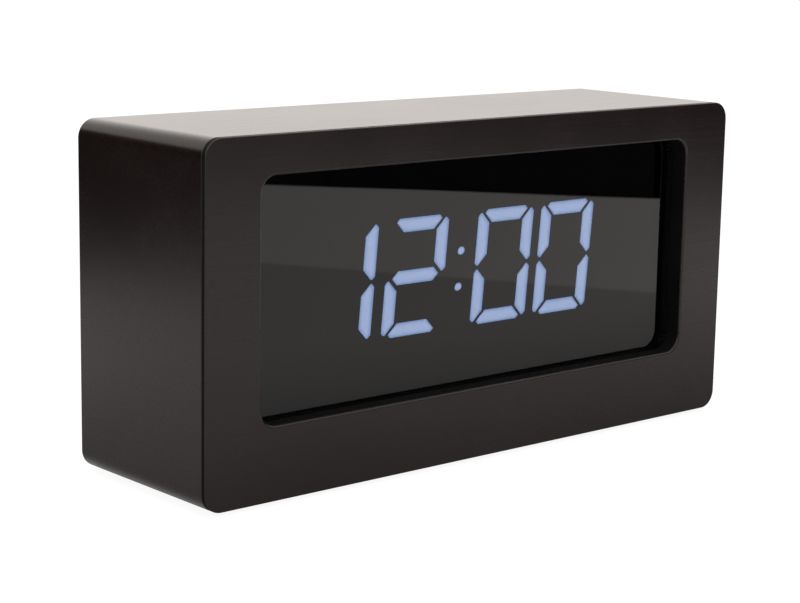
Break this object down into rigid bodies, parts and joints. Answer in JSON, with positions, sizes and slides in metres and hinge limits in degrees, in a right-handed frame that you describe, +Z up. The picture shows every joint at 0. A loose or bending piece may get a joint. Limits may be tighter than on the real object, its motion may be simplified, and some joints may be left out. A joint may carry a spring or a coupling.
{
  "type": "digital alarm clock",
  "caption": "Low box-shaped shelf clock with a deep-set segment display behind a dark lens, rear buttons, an alarm slider and a battery door.",
  "frame": {"origin": "middle of the footprint, on the surface that the feet stand on", "axes": "+Z up, +X to the right seen from the front, and the front with its display faces -Y"},
  "size_m": [0.1536, 0.0454, 0.076],
  "materials": {
    "case_black": "satin lacquered black moulding",
    "fascia_black": "satin lacquered black moulding",
    "cover_black": "fine matt texture",
    "button_black": "satin moulding",
    "lens_smoke": "polished smoke grey acrylic",
    "foam_black": "fine foam",
    "mask_black": "matt black moulding",
    "guide_milky": "milky light guide, lit from behind where a bar shows",
    "reflector_white": "white moulding",
    "board_green": "solder mask over glass laminate",
    "rubber_black": "matt",
    "screw_steel": "plated",
    "contact_nickel": "nickel plated spring steel",
    "cell_jacket": "plain metallic sleeve",
    "part_black": "moulded component body",
    "can_metal": "drawn can",
    "wire_red": "insulation",
    "wire_black": "insulation",
    "ribbon_grey": "flat cable insulation"
  },
  "bodies": {
    "case": {"alarm_switch": "part_black", "backlight_reflector": "reflector_white", "battery_cell_1": "cell_jacket", "battery_cell_2": "cell_jacket", "battery_cell_3": "cell_jacket", "battery_wire_black": "wire_black", "battery_wire_red": "wire_red", "board_screw_left": "screw_steel", "board_screw_right": "screw_steel", "buzzer": "part_black", "case_sleeve": "case_black", "cell_link_left": "contact_nickel", "cell_link_right": "contact_nickel", "clock_chip": "part_black", "contact_spring_1": "contact_nickel", "contact_spring_2": "contact_nickel", "contact_spring_3": "contact_nickel", "cover_screw_bottom_left": "screw_steel", "cover_screw_bottom_right": "screw_steel", "cover_screw_top_left": "screw_steel", "cover_screw_top_right": "screw_steel", "crystal_can": "can_metal", "digit_colon": "guide_milky", "digit_hour_ones": "guide_milky", "digit_hour_tens": "guide_milky", "digit_minute_ones": "guide_milky", "digit_minute_tens": "guide_milky", "display_board": "board_green", "display_carrier": "mask_black", "display_screw_bottom_left": "screw_steel", "display_screw_bottom_right": "screw_steel", "display_screw_top_left": "screw_steel", "display_screw_top_right": "screw_steel", "front_fascia": "fascia_black", "hour_switch": "part_black", "lens_gasket": "foam_black", "lens_window": "lens_smoke", "main_board": "board_green", "minute_switch": "part_black", "power_socket": "part_black", "rear_cover": "cover_black", "ribbon_cable": "ribbon_grey", "rubber_foot_front_left": "rubber_black", "rubber_foot_front_right": "rubber_black", "rubber_foot_rear_left": "rubber_black", "rubber_foot_rear_right": "rubber_black", "segment_mask": "mask_black", "slide_switch": "can_metal", "snooze_switch": "part_black", "terminal_negative": "contact_nickel", "terminal_positive": "contact_nickel", "time_switch": "part_black"},
    "time_button": {"time_button": "button_black"},
    "alarm_button": {"alarm_button": "button_black"},
    "hour_button": {"hour_button": "button_black"},
    "minute_button": {"minute_button": "button_black"},
    "snooze_button": {"snooze_button": "button_black"},
    "alarm_slider": {"alarm_slider": "cover_black"},
    "battery_door": {"battery_door": "cover_black"}
  },
  "joints": [
    {"name": "time_press", "type": "slide", "parent": "case", "child": "time_button", "axis": [0, -1, 0], "range_m": [0, 0.0006], "stiffness_N_per_m": 2500},
    {"name": "alarm_press", "type": "slide", "parent": "case", "child": "alarm_button", "axis": [0, -1, 0], "range_m": [0, 0.0006], "stiffness_N_per_m": 2500},
    {"name": "hour_press", "type": "slide", "parent": "case", "child": "hour_button", "axis": [0, -1, 0], "range_m": [0, 0.0006], "stiffness_N_per_m": 2500},
    {"name": "minute_press", "type": "slide", "parent": "case", "child": "minute_button", "axis": [0, -1, 0], "range_m": [0, 0.0006], "stiffness_N_per_m": 2500},
    {"name": "snooze_press", "type": "slide", "parent": "case", "child": "snooze_button", "axis": [0, -1, 0], "range_m": [0, 0.0006], "stiffness_N_per_m": 2500},
    {"name": "alarm_slide", "type": "slide", "parent": "case", "child": "alarm_slider", "axis": [1, 0, 0], "range_m": [0, 0.003]},
    {"name": "battery_door_hinge", "type": "hinge", "parent": "case", "child": "battery_door", "pos_m": [-0.03685, 0.02075, 0.02], "axis": [-1, 0, 0], "range_deg": [0, 90]}
  ]
}
